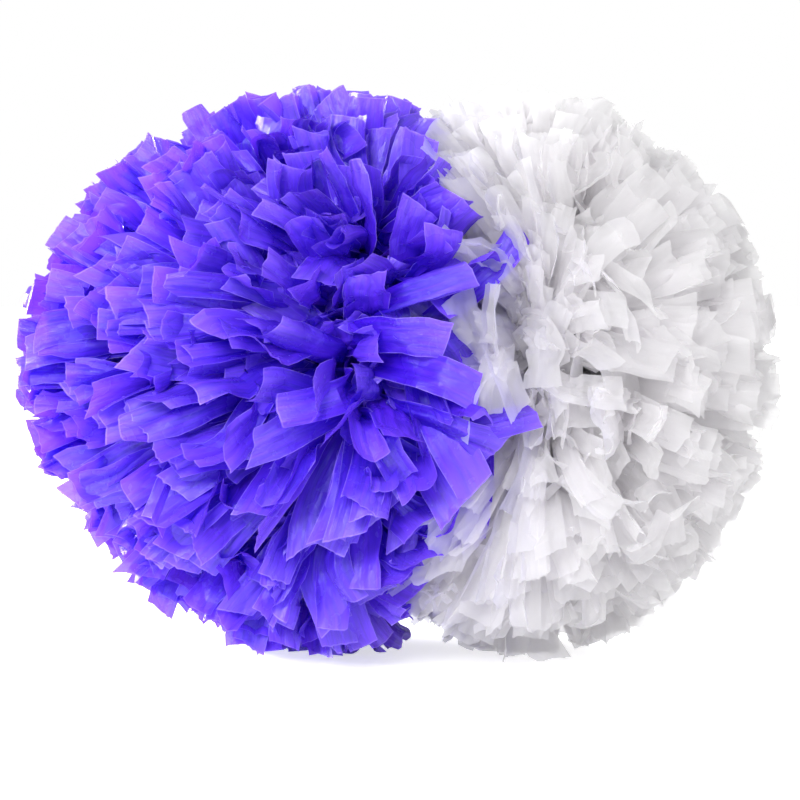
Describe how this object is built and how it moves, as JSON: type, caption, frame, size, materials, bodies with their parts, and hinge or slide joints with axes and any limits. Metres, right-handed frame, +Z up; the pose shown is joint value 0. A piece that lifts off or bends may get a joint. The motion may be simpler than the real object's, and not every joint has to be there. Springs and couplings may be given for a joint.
{
  "type": "cheer pom pom",
  "caption": "Hand-held cheer pom with a violet and a white ball of film streamers tied to the ends of a short baton grip.",
  "frame": {"origin": "on the floor, under the middle of the grip", "axes": "+X along the grip towards the white ball, +Z up, +Y towards the side that the hand comes in from"},
  "size_m": [0.3996, 0.3088, 0.2995],
  "materials": {
    "handle_plastic": "satin moulded polypropylene, charcoal",
    "plug_plastic": "satin moulded polypropylene, charcoal",
    "binding_tape": "white vinyl tape",
    "violet_film": "thin satin plastic film, translucent",
    "white_film": "thin satin plastic film, translucent, finely creased",
    "tie_nylon": "natural nylon"
  },
  "bodies": {
    "handle": {"handle_tube": "handle_plastic", "left_end_plug": "plug_plastic", "left_binding_tape": "binding_tape", "right_end_plug": "plug_plastic", "right_binding_tape": "binding_tape"},
    "left_lobe": {"left_film_web": "violet_film", "left_cable_tie": "tie_nylon", "left_streamers_end_1": "violet_film", "left_streamers_end_2": "violet_film", "left_streamers_outer_1": "violet_film", "left_streamers_outer_2": "violet_film", "left_streamers_outer_3": "violet_film", "left_streamers_outer_4": "violet_film", "left_streamers_middle_1": "violet_film", "left_streamers_middle_2": "violet_film", "left_streamers_middle_3": "violet_film", "left_streamers_middle_4": "violet_film", "left_streamers_middle_5": "violet_film", "left_streamers_middle_6": "violet_film", "left_streamers_crown_1": "violet_film", "left_streamers_crown_2": "violet_film", "left_streamers_crown_3": "violet_film", "left_streamers_crown_4": "violet_film", "left_streamers_crown_5": "violet_film", "left_streamers_crown_6": "violet_film", "left_streamers_crown_7": "violet_film", "left_streamers_grip_1": "violet_film", "left_streamers_grip_2": "violet_film", "left_streamers_grip_3": "violet_film", "left_streamers_grip_4": "violet_film", "left_streamers_grip_5": "violet_film"},
    "right_lobe": {"right_film_web": "white_film", "right_cable_tie": "tie_nylon", "right_streamers_end_1": "white_film", "right_streamers_end_2": "white_film", "right_streamers_outer_1": "white_film", "right_streamers_outer_2": "white_film", "right_streamers_outer_3": "white_film", "right_streamers_outer_4": "white_film", "right_streamers_middle_1": "white_film", "right_streamers_middle_2": "white_film", "right_streamers_middle_3": "white_film", "right_streamers_middle_4": "white_film", "right_streamers_middle_5": "white_film", "right_streamers_middle_6": "white_film", "right_streamers_crown_1": "white_film", "right_streamers_crown_2": "white_film", "right_streamers_crown_3": "white_film", "right_streamers_crown_4": "white_film", "right_streamers_crown_5": "white_film", "right_streamers_crown_6": "white_film", "right_streamers_crown_7": "white_film", "right_streamers_grip_1": "white_film", "right_streamers_grip_2": "white_film", "right_streamers_grip_3": "white_film", "right_streamers_grip_4": "white_film", "right_streamers_grip_5": "white_film"}
  },
  "joints": [
    {"name": "left_lobe_twist", "type": "hinge", "parent": "handle", "child": "left_lobe", "pos_m": [-0.054, 0, 0.147], "axis": [1, 0, 0], "range_deg": [-20, 20], "stiffness_Nm_per_rad": 0.05},
    {"name": "right_lobe_twist", "type": "hinge", "parent": "handle", "child": "right_lobe", "pos_m": [0.054, 0, 0.147], "axis": [1, 0, 0], "range_deg": [-20, 20], "stiffness_Nm_per_rad": 0.05}
  ]
}
